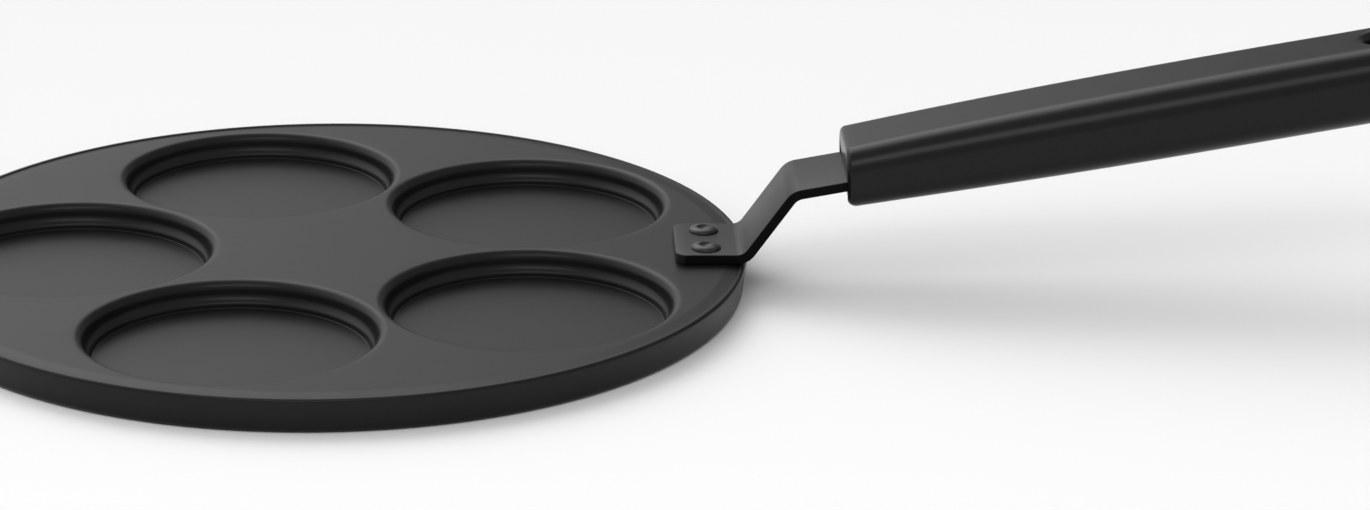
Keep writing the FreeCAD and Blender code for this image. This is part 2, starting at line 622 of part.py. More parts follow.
def screw():
    """The screw beneath the grip: its head seats in the recess and its tip ends above the tang."""
    body = new_body("grip_screw")
    radius, head, taper = size("screw_radius"), size("screw_head_radius"), size("screw_tip_taper")
    seat, tip = -size("seat_depth"), size("screw_tip")
    low = seat - size("screw_head_height")
    low_by = "-dims.seat_depth - dims.screw_head_height"
    corners = [
        (0, low, None, low_by),
        (head, low, "dims.screw_head_radius", low_by),
        (head, seat, "dims.screw_head_radius", "-dims.seat_depth"),
        (radius, seat, "dims.screw_radius", "-dims.seat_depth"),
        (radius, tip - taper, "dims.screw_radius", "dims.screw_tip - dims.screw_tip_taper"),
        (radius - taper, tip, "dims.screw_radius - dims.screw_tip_taper", "dims.screw_tip"),
        (0, tip, None, "dims.screw_tip"),
    ]
    half = new_sketch(body, "screw_half", "XZ_Plane")
    for line, corner in zip(polygon(half, [corner[:2] for corner in corners]), corners):
        hold_point(half, line, 1, *corner[2:])
    doc.recompute()
    add(body, "Revolution", "screw_solid", half, ReferenceAxis=(origin_part(body, "Z_Axis"), [""]),
        Angle=360.0)
    round_edges(body, "head_round", "dims.screw_head_round", lambda edge: is_ring(edge, head, low))

    socket = new_sketch(body, "socket_hexagon", "XY_Plane", low_by)
    corner_radius = size("screw_socket_width") / math.sqrt(3)
    ring = draw_circle(socket, 0, 0, corner_radius, "dims.screw_socket_width / sqrt(3)", guide=True)
    turns = [math.radians(60 * i) for i in range(6)]
    flats = polygon(socket, [(corner_radius * math.cos(a), corner_radius * math.sin(a)) for a in turns])
    for flat, follower in zip(flats, flats[1:]):
        hold(socket, "PointOnObject", follower, 1, ring)
        hold(socket, "Equal", flat, follower)
    hold(socket, "PointOnObject", flats[0], 1, ring)
    hold(socket, "PointOnObject", flats[0], 1, -1)
    doc.recompute()
    add(body, "Pocket", "socket", socket, Length="=dims.screw_socket_depth", Reversed=True)
    put_on_axis(body, "Placement", "screw_place")
    doc.recompute()
    return body


pieces = [plate(), strap(), rivets(), grip(), screw()]
for item in doc.Objects:
    if "Invalid" in item.State or "Error" in item.State:
        raise ValueError(f"{item.Name} failed: {item.State}")

os.makedirs("parts", exist_ok=True)
for piece in pieces:
    shape = piece.Shape
    if shape.isNull() or not shape.isValid():
        raise ValueError(f"{piece.Label} has no valid shape")
    shape.exportStep(f"parts/{piece.Label}.step")
    box = shape.BoundBox
    print(piece.Label, len(shape.Solids), "solids", round(shape.Volume), "mm3, faces", len(shape.Faces))
    print("   ", [round(v, 2) for v in (box.XMin, box.XMax, box.YMin, box.YMax, box.ZMin, box.ZMax)])
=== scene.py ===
# %% [markdown]
# A pancake pan, dressed in Blender
#
# The pan is a dark cast plate with five stepped cups, a flat strap riveted to its rim, and a smooth
# black grip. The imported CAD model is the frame: it says where everything is, and it never moves.
# Its own meshes are loose triangles, which show as facets on glossy black, so every piece is made
# again here as a smooth surface of the same size, and stands where its CAD node stood.

# %% Load the frame
import math

import bmesh
import bpy
import numpy as np
from mathutils import Matrix, Vector


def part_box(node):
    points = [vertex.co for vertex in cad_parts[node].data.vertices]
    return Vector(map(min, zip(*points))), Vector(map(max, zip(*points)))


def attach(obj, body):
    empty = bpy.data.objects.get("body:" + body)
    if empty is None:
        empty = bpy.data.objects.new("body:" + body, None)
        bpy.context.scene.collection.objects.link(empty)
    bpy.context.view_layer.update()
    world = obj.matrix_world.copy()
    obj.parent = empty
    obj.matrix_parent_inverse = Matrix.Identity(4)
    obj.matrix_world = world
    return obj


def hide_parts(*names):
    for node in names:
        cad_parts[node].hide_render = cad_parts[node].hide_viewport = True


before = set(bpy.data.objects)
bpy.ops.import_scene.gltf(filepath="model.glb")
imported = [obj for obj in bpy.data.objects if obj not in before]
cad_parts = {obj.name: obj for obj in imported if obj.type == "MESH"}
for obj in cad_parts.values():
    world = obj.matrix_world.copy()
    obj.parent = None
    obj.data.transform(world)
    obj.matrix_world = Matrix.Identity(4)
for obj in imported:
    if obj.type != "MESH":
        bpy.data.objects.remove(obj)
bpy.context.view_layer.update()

MM = 0.001

# %% [markdown]
# Surfaces from grids
#
# Each piece is one or more grids of points, worked out with whole numpy arrays. Where two grids
# share an edge they are given the very same points there, so merging doubles closes the shell.
# A shell could also be modelled by hand or cut with booleans, but grids keep their quads in neat
# rows along the form, and a glossy surface shows any unevenness in its rows.

# %% A shell of grids
MERGE = 0.002 * MM


class Shell:
    """Grids of points, joined where they meet and made into one smooth mesh."""

    def __init__(self):
        self.points = []
        self.quads = []
        self.count = 0

    def add(self, grid, wrap=False):
        """Adds a grid of rows and columns; wrap joins its last column to its first."""
        rows, columns = grid.shape[:2]
        index = np.arange(rows * columns).reshape(rows, columns) + self.count
        if wrap:
            index = np.column_stack([index, index[:, 0]])
        corners = [index[:-1, :-1], index[:-1, 1:], index[1:, 1:], index[1:, :-1]]
        self.quads.append(np.stack(corners, -1).reshape(-1, 4))
        self.points.append(grid.reshape(-1, 3))
        self.count += rows * columns

    def build(self, name, crease=None):
        """Makes the object: doubles merged, normals turned outwards, all faces smooth.

        Edges that bend by more than the crease, an angle in degrees, are kept sharp.
        """
        points = np.concatenate(self.points).astype(np.float32)
        quads = np.concatenate(self.quads).astype(np.int32)
        mesh = bpy.data.meshes.new(name)
        mesh.vertices.add(len(points))
        mesh.vertices.foreach_set("co", points.ravel())
        mesh.loops.add(quads.size)
        mesh.loops.foreach_set("vertex_index", quads.ravel())
        mesh.polygons.add(len(quads))
        mesh.polygons.foreach_set("loop_start", np.arange(0, quads.size, 4, dtype=np.int32))
        mesh.update(calc_edges=True)
        shape = bmesh.new()
        shape.from_mesh(mesh)
        bmesh.ops.remove_doubles(shape, verts=shape.verts, dist=MERGE)
        bmesh.ops.dissolve_degenerate(shape, edges=shape.edges, dist=MERGE)
        bmesh.ops.recalc_face_normals(shape, faces=shape.faces)
        open_edges = sum(not edge.is_manifold for edge in shape.edges)
        volume = shape.calc_volume(signed=True)
        shape.to_mesh(mesh)
        shape.free()
        mesh.polygons.foreach_set("use_smooth", np.ones(len(mesh.polygons), bool))
        if crease:
            mesh.set_sharp_from_angle(angle=math.radians(crease))
        piece = bpy.data.objects.new(name, mesh)
        bpy.context.scene.collection.objects.link(piece)
        print(name, len(mesh.polygons), "faces,", open_edges, "open edges,",
              round(volume / MM ** 3), "mm3")
        return piece


print("points merge within", MERGE / MM, "mm")

# %% [markdown]
# Profiles with rounds
#
# Almost every edge of a cast, bent or moulded thing is a small round, and on black gloss the rounds
# are most of what is seen. A Bevel modifier could round a finished mesh, but the rounds of a cup
# run straight into each other and each has its own radius. So a profile is written as its corners
# and a radius for each, and the arcs are worked out from those.

# %% Rounded profiles
def rounded(corners, radii, steps=8):
    """A line through corners, where each inner corner is an arc that touches both of its lines.

    The arc's ends lie at radius / tan(half the corner's angle) from the corner, and its centre lies
    on the bisector at radius / sin(half the angle).
    """
    corners = [np.array(corner, float) for corner in corners]
    points = [corners[0]]
    for before, corner, after, radius in zip(corners, corners[1:], corners[2:], radii):
        back = (before - corner) / np.linalg.norm(before - corner)
        on = (after - corner) / np.linalg.norm(after - corner)
        half = math.acos(np.clip(back @ on, -1, 1)) / 2
        middle = (back + on) / np.linalg.norm(back + on)
        centre = corner + middle * radius / math.sin(half)
        spoke = corner + back * radius / math.tan(half) - centre
        side = math.copysign(1, back[0] * on[1] - back[1] * on[0])
        turn = -side * np.linspace(0, math.pi - 2 * half, steps + 1)
        arc = np.stack([spoke[0] * np.cos(turn) - spoke[1] * np.sin(turn),
                        spoke[0] * np.sin(turn) + spoke[1] * np.cos(turn)], -1)
        points.extend(centre + arc)
    points.append(corners[-1])
    return np.array(points)


print("a square corner, rounded", rounded([(1, 0), (0, 0), (0, 1)], [0.5], 2).round(3).tolist())

# %% [markdown]
# The cast plate
#
# The plate is one casting. Each cup drops from a rounded lip down a steep wall to a narrow sloping
# ledge, then down a second wall to a flat floor. Near the rim the flat top sinks a little and comes
# up again, so that the plate's edge stands out as a fine line. The whole top could be cut from a
# disc with booleans, but their ragged faces would show in the gloss. Here the plate is five equal
# slices, and each slice is a set of rings round its own cup: the rings follow the cup's profile out
# to the lip, and then spread to the slice's edge, which is two straight cuts and a piece of the rim.

# %% Sizes of the cups
CUPS = 5
HALF_SLICE = math.pi / CUPS
SLICE_SINE = math.sin(HALF_SLICE)
PLATE_RADIUS = 130.0 * MM
PLATE_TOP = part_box("pan_plate")[1].z
RIM_LAND = 9.7 * MM
CUP_GAP = 5.5 * MM
CUP_MOUTH = (PLATE_RADIUS - RIM_LAND - CUP_GAP / 2 / SLICE_SINE) / (1 + 1 / SLICE_SINE)
CUP_CIRCLE = PLATE_RADIUS - RIM_LAND - CUP_MOUTH
CUP_DEPTH = 7.8 * MM
WALL_LEAN = math.tan(math.radians(5))
LEDGE_DEPTH = 4.9 * MM
LEDGE_RUN = 1.6 * MM
LEDGE_DROP = 1.33 * MM
LEDGE_OUTER = CUP_MOUTH - LEDGE_DEPTH * WALL_LEAN
LEDGE_INNER = LEDGE_OUTER - LEDGE_RUN
LEDGE_FOOT = LEDGE_DEPTH + LEDGE_DROP
FLOOR_RADIUS = LEDGE_INNER - (CUP_DEPTH - LEDGE_FOOT) * WALL_LEAN
FLOOR_ROUND = 0.3 * MM
STEP_ROUND = 1.4 * MM
LEDGE_ROUND = 3.0 * MM
LIP_ROUND = 2.9 * MM
print("cup mouths", round(2 * CUP_MOUTH / MM, 1), "mm wide, centres on a circle of radius",
      round(CUP_CIRCLE / MM, 1), "mm")

# %% Profiles of a cup and of the rim, each as (radius, height)
cup_profile = rounded(
    [(0, PLATE_TOP - CUP_DEPTH), (FLOOR_RADIUS, PLATE_TOP - CUP_DEPTH),
     (LEDGE_INNER, PLATE_TOP - LEDGE_FOOT), (LEDGE_OUTER, PLATE_TOP - LEDGE_DEPTH),
     (CUP_MOUTH, PLATE_TOP), (CUP_MOUTH + LIP_ROUND, PLATE_TOP)],
    [FLOOR_ROUND, STEP_ROUND, LEDGE_ROUND, LIP_ROUND])[:-1]

PLATE_DRAFT = 1.2 * MM
RIM_ROUND = 1.0 * MM
FOOT_ROUND = 2.0 * MM
EDGE_WIDTH = 1.8 * MM
GROOVE_DEPTH = 0.4 * MM
GROOVE_START = 6.2 * MM
GROOVE_SOFT = 12.0 * MM
GROOVE_FIRM = 0.3 * MM
LAND_END = 7.0 * MM
rim_profile = rounded(
    [(PLATE_RADIUS - LAND_END, PLATE_TOP), (PLATE_RADIUS - GROOVE_START, PLATE_TOP),
     (PLATE_RADIUS - EDGE_WIDTH - GROOVE_DEPTH, PLATE_TOP - GROOVE_DEPTH),
     (PLATE_RADIUS - EDGE_WIDTH, PLATE_TOP), (PLATE_RADIUS, PLATE_TOP),
     (PLATE_RADIUS - PLATE_DRAFT, 0), (0, 0)],
    [GROOVE_SOFT, GROOVE_FIRM, GROOVE_FIRM, RIM_ROUND, FOOT_ROUND])[1:]
FLAT_RADIUS = rim_profile[0, 0]
print("a cup's lip ends at", round(cup_profile[-1, 0] / MM, 2), "mm, the plate's flat at",
      round(FLAT_RADIUS / MM, 2), "mm")

# %% The rings of one slice
RIM_STEPS = 32
CUT_STEPS = 48
FLOOR_PARTS = np.array([0.5, 0.9, 0.98])
SPREAD_PARTS = np.array([0.1, 0.4, 1.0])


def slice_edge(turn):
    """Distance from a cup's centre to the edge of its slice, in the direction of turn.

    It is the shorter of the way to the rim's circle, by the cosine rule, and the way to the nearer
    straight cut, by the sine rule.
    """
    rim = np.sqrt(FLAT_RADIUS ** 2 - (CUP_CIRCLE * np.sin(turn)) ** 2) - CUP_CIRCLE * np.cos(turn)
    lean = np.sin(np.abs(turn) - HALF_SLICE)
    cut_line = CUP_CIRCLE * SLICE_SINE / np.where(lean > 0, lean, np.inf)
    return np.minimum(rim, np.where(lean > 0, cut_line, np.inf))


corner_turn = math.atan2(FLAT_RADIUS * SLICE_SINE,
                         FLAT_RADIUS * math.cos(HALF_SLICE) - CUP_CIRCLE)
rim_turns = np.linspace(0, corner_turn, RIM_STEPS + 1)
cut_turns = np.linspace(corner_turn, math.pi, CUT_STEPS + 1)[1:]
half_turns = np.concatenate([rim_turns, cut_turns])
turns = np.concatenate([-half_turns[:0:-1], half_turns[:-1]])
every = 0 * turns
floor_edge, lip_end = cup_profile[1, 0], cup_profile[-1, 0]
rings = np.concatenate([
    cup_profile[:1, :1] + every,
    FLOOR_PARTS[:, None] * floor_edge + every,
    cup_profile[1:, :1] + every,
    lip_end + SPREAD_PARTS[:, None] * (slice_edge(turns) - lip_end)])
heights = np.concatenate([
    cup_profile[:1, 1],
    np.full(len(FLOOR_PARTS), cup_profile[0, 1]),
    cup_profile[1:, 1],
    np.full(len(SPREAD_PARTS), PLATE_TOP)])[:, None] + every
print("a slice has", *rings.shape, "rings and columns")

# %% The plate as one shell
UNDER_RIM = 0.5 * MM


def revolve(profile, turns, centre=(0.0, 0.0)):
    """A profile of (radius, height) turned about an upright axis.

    Each point lies at the centre plus radius * (cosine, sine) of its turn, at the profile's height.
    """
    radius, height = profile[:, :1], profile[:, 1:]
    return np.stack([centre[0] + radius * np.cos(turns), centre[1] + radius * np.sin(turns),
                     height + 0 * turns], -1)


plate_shell = Shell()
rim_arc = np.concatenate([-rim_turns[:0:-1], rim_turns[:-1]])
rim_reach = slice_edge(rim_arc)
arc_angles = np.arctan2(rim_reach * np.sin(rim_arc), CUP_CIRCLE + rim_reach * np.cos(rim_arc))
headings = HALF_SLICE * (2 * np.arange(CUPS) + 1)
x, y = CUP_CIRCLE + rings * np.cos(turns), rings * np.sin(turns)
for heading in headings:
    plate_shell.add(np.stack([x * math.cos(heading) - y * math.sin(heading),
                              x * math.sin(heading) + y * math.cos(heading), heights], -1),
                    wrap=True)
under = np.array([[rim_profile[-2, 0] - UNDER_RIM, 0.0], [0.5 * PLATE_RADIUS, 0.0]])
rim_rows = np.concatenate([rim_profile[:-1], under, rim_profile[-1:]])
plate_shell.add(revolve(rim_rows, (headings[:, None] + arc_angles).ravel()), wrap=True)
plate = plate_shell.build("cast_plate")

# %% [markdown]
# Countersinks beneath the plate
#
# The rivets' feet are closed into cones cut in the underside. The rings of the underside could be
# bent round the cones, but the underside is flat, so a boolean with two small cones is clean there,
# and the faces round it stay flat.

# %% Cut the countersinks
RIVET_X = 117.0 * MM
RIVET_Y = 8.3 * MM
SINK_RADIUS = 4.6 * MM
SINK_DEPTH = 3.1 * MM
SINK_MARGIN = 1.0 * MM


def circle(steps):
    """Angles once round, in equal steps, without the last, which is the first again."""
    return np.linspace(0, 2 * math.pi, steps + 1)[:-1]


def cut(piece, cutters, crease=30):
    """Takes the cutters away from a piece and keeps edges sharp that bend by more than crease."""
    for number, cutter in enumerate(cutters):
        boolean = piece.modifiers.new(f"cut_{number}", "BOOLEAN")
        boolean.object = cutter
        boolean.solver = "EXACT"
    graph = bpy.context.evaluated_depsgraph_get()
    mesh = bpy.data.meshes.new_from_object(piece.evaluated_get(graph))
    piece.modifiers.clear()
    piece.data = mesh
    mesh.set_sharp_from_angle(angle=math.radians(crease))
    for cutter in cutters:
        bpy.data.objects.remove(cutter)
    print(piece.name, "has", len(mesh.polygons), "faces after its cuts")


AROUND = circle(64)
sink_profile = np.array([
    [0, -SINK_MARGIN], [SINK_RADIUS + SINK_MARGIN, -SINK_MARGIN],
    [SINK_RADIUS - SINK_DEPTH, SINK_DEPTH], [0, SINK_DEPTH]])
cones = []
for side in (1, -1):
    cone = Shell()
    cone.add(revolve(sink_profile, AROUND, (RIVET_X, side * RIVET_Y)), wrap=True)
    cones.append(cone.build(f"cone_{side}"))
cut(plate, cones)

# %% [markdown]
# The strap
#
# The strap is flat bar, bent twice. It could be a long box whose far part is slid upwards, but a part
# that is slid and not turned gets thinner. Here its section, a rectangle with slightly rounded
# edges, is carried along the middle line of its side view, so it keeps its thickness as bent bar
# does. At the free end the width follows a quarter circle, which gives the pad its rounded corners.
# The far end steps in to a narrow tang.

# %% Sizes of the strap
STRAP_HALF_WIDTH = 15.5 * MM
STRAP_HALF_THICK = 1.5 * MM
STRAP_EDGE = 0.4 * MM
STRAP_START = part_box("handle_strap")[0].x
STRAP_MIDDLE = PLATE_TOP + STRAP_HALF_THICK
STRAP_TOP = PLATE_TOP + 2 * STRAP_HALF_THICK
STRAP_RISE = 20.4 * MM
PAD_CORNER = 4.0 * MM
PITCH = math.radians(10.5)
STEEP = math.radians(54.7)
LOWER_BEND = 128.1 * MM
BEND_ROUND = 5.5 * MM
GRIP_START = 16.75 * MM
TANG_SHOULDER = 12.0 * MM
TANG_LENGTH = 70.0 * MM
TANG_HALF_WIDTH = 10.0 * MM
print("strap", 2 * STRAP_HALF_WIDTH / MM, "by", 2 * STRAP_HALF_THICK / MM, "mm, its pad from x",
      round(STRAP_START / MM, 1), "mm")

# %% The strap's middle line, as (x, z)
def quarter(steps):
    """Angles from nothing to a right angle, in equal steps."""
    return np.linspace(0, math.pi / 2, steps + 1)


along = np.array([math.cos(PITCH), math.sin(PITCH)])
square = np.array([-math.sin(PITCH), math.cos(PITCH)])
# The line turns below the top face's corners, where it meets the line that halves each bend.
lower = np.array([LOWER_BEND + STRAP_HALF_THICK * math.tan(STEEP / 2), STRAP_MIDDLE])
top_corner = np.array([LOWER_BEND + STRAP_RISE / math.tan(STEEP), STRAP_TOP + STRAP_RISE])
beneath = top_corner - square * STRAP_HALF_THICK
upper = beneath + along * STRAP_HALF_THICK * math.tan((STEEP - PITCH) / 2)
grip_front = beneath + along * GRIP_START
shoulder = grip_front + along * TANG_SHOULDER
tang_end = grip_front + along * TANG_LENGTH

PAD_STEPS = 20
BEND_STEPS = 12
pad_angles = quarter(PAD_STEPS)[:-1]
pad_way = PAD_CORNER * (1 - np.cos(pad_angles))
pad = np.stack([STRAP_START + pad_way, np.full(PAD_STEPS, STRAP_MIDDLE)], -1)
pad_end = np.array([STRAP_START + PAD_CORNER, STRAP_MIDDLE])
bent = rounded([pad_end, lower, upper, shoulder], [BEND_ROUND, BEND_ROUND], BEND_STEPS)
tang = np.stack([shoulder, tang_end - along * STRAP_EDGE, tang_end])
path = np.concatenate([pad, bent, tang])
print("middle line of", len(path), "points, to x", round(tang_end[0] / MM, 1), "mm")

# %% Width, thickness and slope at each point of the line
widths = np.concatenate([
    STRAP_HALF_WIDTH - PAD_CORNER * (1 - np.sin(pad_angles)),
    np.full(len(bent), STRAP_HALF_WIDTH),
    [TANG_HALF_WIDTH, TANG_HALF_WIDTH, TANG_HALF_WIDTH - STRAP_EDGE]])
short = np.zeros(len(path))
short[:PAD_STEPS] = np.clip(1 - pad_way / STRAP_EDGE, 0, 1)
thicks = STRAP_HALF_THICK - STRAP_EDGE * (1 - np.sqrt(1 - short ** 2))
slopes = np.gradient(path, axis=0)
slopes[-len(tang):] = along
angles = np.arctan2(slopes[:, 1], slopes[:, 0])
angles[:PAD_STEPS] = 0
print("steepest slope", round(math.degrees(angles.max()), 1), "degrees")

# %% The strap as one shell
EDGE_STEPS = 4
quadrants = np.repeat(np.arange(4), EDGE_STEPS + 1)
edge_angles = np.tile(quarter(EDGE_STEPS), 4) + quadrants * math.pi / 2
sides = np.sign(np.cos((quadrants + 0.5) * math.pi / 2))
levels = np.sign(np.sin((quadrants + 0.5) * math.pi / 2))
across = sides * (widths[:, None] - STRAP_EDGE) + STRAP_EDGE * np.cos(edge_angles)
upward = levels * (thicks[:, None] - STRAP_EDGE) + STRAP_EDGE * np.sin(edge_angles)
strap_grid = np.stack([path[:, :1] - np.sin(angles)[:, None] * upward, across,
                       path[:, 1:] + np.cos(angles)[:, None] * upward], -1)
ends = [np.broadcast_to(strap_grid[row].mean(0), (1, *strap_grid.shape[1:])) for row in (0, -1)]
strap_shell = Shell()
strap_shell.add(np.concatenate([ends[0], strap_grid, ends[1]]), wrap=True)
strap = strap_shell.build("bent_strap", crease=40)

# %% [markdown]
# The rivets
#
# Each rivet has a low domed head with a dimple where the tool pressed it, a shank through strap and
# plate, and a foot that fills the countersink. It is round all the way, so its profile is turned
# about its own axis, as on a lathe. Both rivets are in one mesh.

# %% Turn the rivets
HEAD_RADIUS = 4.6 * MM
HEAD_EDGE = STRAP_TOP + 0.15 * MM
HEAD_BREAK = 0.03 * MM
CREST = STRAP_TOP + 1.3 * MM
DIMPLE_RADIUS = 2.2 * MM
DIMPLE_DEPTH = 0.95 * MM
SHANK_RADIUS = 3.0 * MM
FOOT_HEIGHT = 0.3 * MM
FOOT_RADIUS = 4.24 * MM
BOWL_STEPS = 8
DOME_STEPS = 10

bowl_radius = (DIMPLE_RADIUS ** 2 + DIMPLE_DEPTH ** 2) / (2 * DIMPLE_DEPTH)
bowl_turns = np.linspace(0, math.asin(DIMPLE_RADIUS / bowl_radius), BOWL_STEPS + 1)
bowl = np.stack([bowl_radius * np.sin(bowl_turns),
                 CREST - DIMPLE_DEPTH + bowl_radius * (1 - np.cos(bowl_turns))], -1)
dome_turns = quarter(DOME_STEPS)[-2::-1]
dome = np.stack([DIMPLE_RADIUS + (HEAD_RADIUS - DIMPLE_RADIUS) * np.cos(dome_turns),
                 HEAD_EDGE + (CREST - HEAD_EDGE) * np.sin(dome_turns)], -1)
shank = np.array([
    [HEAD_RADIUS, STRAP_TOP + HEAD_BREAK], [HEAD_RADIUS - HEAD_BREAK, STRAP_TOP],
    [SHANK_RADIUS, STRAP_TOP], [SHANK_RADIUS, FOOT_HEIGHT + FOOT_RADIUS - SHANK_RADIUS],
    [FOOT_RADIUS, FOOT_HEIGHT], [0, FOOT_HEIGHT]])
rivet_profile = np.concatenate([bowl, dome, shank])
rivet_shell = Shell()
for side in (1, -1):
    rivet_shell.add(revolve(rivet_profile, AROUND, (RIVET_X, side * RIVET_Y)), wrap=True)
rivets = rivet_shell.build("dimpled_rivets", crease=45)

# %% [markdown]
# The grip
#
# The grip is a long moulding with a rounded section that swells in the middle, a flat front face
# with a slot for the strap, and a half-round end with a hanging hole. A loft with a hole bored in it
# is what the CAD does. Here four grids meet edge to edge. The barrel carries the section from the
# bottom of the slot out of its mouth, over the front face and along the grip. Two side strips go on
# straight past the hole. A sheet of rays fills the flats in front of the hole and goes through it.
# The end is the ring's section turned half a circle about the hole's axis.

# %% Sizes of the grip
# A section's sizes are its half width, its height above and below the middle line, and the rounds
# of its upper and lower edges. Places are measured along the grip from its front.
SECTION_AT = np.array([-3.0, 40.0, 82.0, 122.0, 156.0]) * MM
SECTION_SIZES = np.array([
    [17.8, 10.6, 7.6, 7.2, 7.0],
    [18.2, 12.1, 8.9, 8.2, 8.2],
    [18.5, 12.9, 9.8, 8.8, 9.0],
    [18.3, 13.2, 10.2, 9.0, 9.2],
    [18.0, 13.1, 10.3, 8.8, 8.8],
]) * MM
REAR_AT, REAR_SIZES = SECTION_AT[-1], SECTION_SIZES[-1]
REAR_HALF, REAR_ABOVE, REAR_BELOW, REAR_SHOULDER = REAR_SIZES[:4]
HOLE_AT = 170.0 * MM
HOLE_RADIUS = 6.0 * MM
HOLE_ROUND = 3.0 * MM
STRAIGHT = HOLE_AT - REAR_AT
FLAT_HALF = REAR_HALF - REAR_SHOULDER
print("grip", round((HOLE_AT + REAR_HALF) / MM), "mm long")

# %% Columns that all four grids share
ARC_STEPS = 12
FRONT_STEPS = 8
SIDE_STEPS = 16
corner_ray = math.atan2(FLAT_HALF, STRAIGHT)
front_rays = np.linspace(0, corner_ray, FRONT_STEPS + 1)
side_rays = np.linspace(corner_ray, math.pi / 2, SIDE_STEPS + 1)[1:]
flat_parts = STRAIGHT * np.tan(front_rays) / FLAT_HALF
side_parts = np.array([0.25, 0.75])
arc_turns = quarter(ARC_STEPS)


def half_section(half, above, below, shoulder, belly):
    """One side of the section, from the middle of the top to the middle of the bottom.

    Flats run out to where the rounds start; each round is a quarter circle; the side joins them.
    Every size may be an array, one value for each row of the grid.
    """
    half, above, below, shoulder, belly = (
        np.atleast_1d(size)[:, None] for size in (half, above, below, shoulder, belly))
    side_top, side_low = above - shoulder, belly - below
    y = [flat_parts * (half - shoulder),
         half - shoulder + shoulder * np.sin(arc_turns[1:]),
         half + 0 * side_parts,
         half - belly + belly * np.cos(arc_turns),
         (flat_parts * (half - belly))[:, -2::-1]]
    z = [above + 0 * flat_parts,
         side_top + shoulder * np.cos(arc_turns[1:]),
         side_top + (side_low - side_top) * side_parts,
         side_low - belly * np.sin(arc_turns),
         -below + 0 * flat_parts[:-1]]
    return np.concatenate(y, 1), np.concatenate(z, 1)


def full_section(*sizes):
    """The whole section as a closed ring of columns: one side and its mirror image."""
    y, z = half_section(*sizes)
    return np.concatenate([y, -y[:, -2:0:-1]], 1), np.concatenate([z, z[:, -2:0:-1]], 1)


rear_y, rear_z = (part[0] for part in half_section(*REAR_SIZES))
print("half a section has", len(rear_y), "columns")

# %% The slot's rows, from its bottom out to its mouth
SLOT_ROOM = 0.15 * MM
SLOT_SPARE = 0.5 * MM
SLOT_CORNER = 0.05 * MM
MOUTH_ROUND = 0.4 * MM
FACE_STEPS = 6
slot_half, tang_half = STRAP_HALF_WIDTH + SLOT_ROOM, TANG_HALF_WIDTH + SLOT_ROOM
slot_above, slot_below = STRAP_HALF_THICK + SLOT_ROOM, STRAP_HALF_THICK


def slot_sizes(half, out):
    """Sizes of the slot's section, grown by out all round."""
    out = np.atleast_1d(out)
    corner = SLOT_CORNER + out
    return np.stack([half + out, slot_above + out, slot_below + out, corner, corner])


mouth_turns = quarter(FACE_STEPS)[::-1]
slot_rows = np.concatenate([
    slot_sizes(tang_half, [0, 0]), slot_sizes(slot_half, 0),
    slot_sizes(slot_half, MOUTH_ROUND * (1 - np.cos(mouth_turns)))], 1)
slot_at = np.concatenate([
    np.array([TANG_LENGTH, TANG_SHOULDER, TANG_SHOULDER]) + SLOT_SPARE,
    MOUTH_ROUND * (1 - np.sin(mouth_turns))])
print("slot", round(slot_at.max() / MM, 1), "mm deep in", len(slot_at), "rows")

# %% The outer rows, over the front face's round and along the grip
FACE_ROUND = 1.6 * MM
BARREL_ROWS = 60
section_curves = np.polyfit(SECTION_AT / MM, SECTION_SIZES, len(SECTION_AT) - 1)
barrel_at = np.linspace(FACE_ROUND, REAR_AT, BARREL_ROWS + 1)
barrel_rows = np.polyval(section_curves, barrel_at[:, None] / MM).T
barrel_rows[:, -1] = REAR_SIZES
face_turns = quarter(FACE_STEPS)
face_rows = barrel_rows[:, :1] - FACE_ROUND * (1 - np.sin(face_turns))
face_at = FACE_ROUND * (1 - np.cos(face_turns))

row_sizes = np.concatenate([slot_rows, face_rows, barrel_rows[:, 1:]], 1)
row_at = np.concatenate([slot_at, face_at, barrel_at[1:]])[:, None]
ring_y, ring_z = full_section(*row_sizes)
print("widest", round(2 * ring_y.max() / MM, 1), "mm")

# %% [markdown]
# The slanted front face
#
# The front face leans back towards its top, and below the slot it curls under in a small chin. It
# could be cut off at a slant, but then its rounded edge would have to be made again. Here the rows
# near the front are pushed back by the face's own depth at each height, and the push fades out
# along the grip, so the rounded edge bends with the face.

# %% Push the rows back and add the barrel
FACE_TILT = math.radians(8)
CHIN_PLACE = -3.5 * MM
CHIN_ROUND = 5.0 * MM
PUSH_LENGTH = 25.0 * MM


def front_at(z):
    """How far back the front face lies at a height: a slanted line above, and an arc for the chin."""
    middle_x = CHIN_PLACE * math.tan(FACE_TILT) + CHIN_ROUND * math.cos(FACE_TILT)
    middle_z = CHIN_PLACE - CHIN_ROUND * math.sin(FACE_TILT)
    drop = np.clip(middle_z - z, -CHIN_ROUND, CHIN_ROUND)
    chin = middle_x - np.sqrt(CHIN_ROUND ** 2 - drop ** 2)
    return np.where(z < CHIN_PLACE, chin, z * math.tan(FACE_TILT))


def grip_points(x, y, z):
    """Turns points in the grip's own frame up by the pitch and moves them to the grip's front."""
    x, y, z = np.broadcast_arrays(x, y, z)
    return np.stack([grip_front[0] + x * along[0] + z * square[0], y,
                     grip_front[1] + x * along[1] + z * square[1]], -1)


ring_x = row_at + front_at(ring_z) * np.clip(1 - row_at / PUSH_LENGTH, 0, 1)
barrel = grip_points(ring_x, ring_y, ring_z)
slot_end = np.broadcast_to(barrel[0].mean(0), (1, *barrel.shape[1:]))
grip_shell = Shell()
grip_shell.add(np.concatenate([slot_end, barrel]), wrap=True)
print("barrel of", *barrel.shape[:2], "rows and columns")

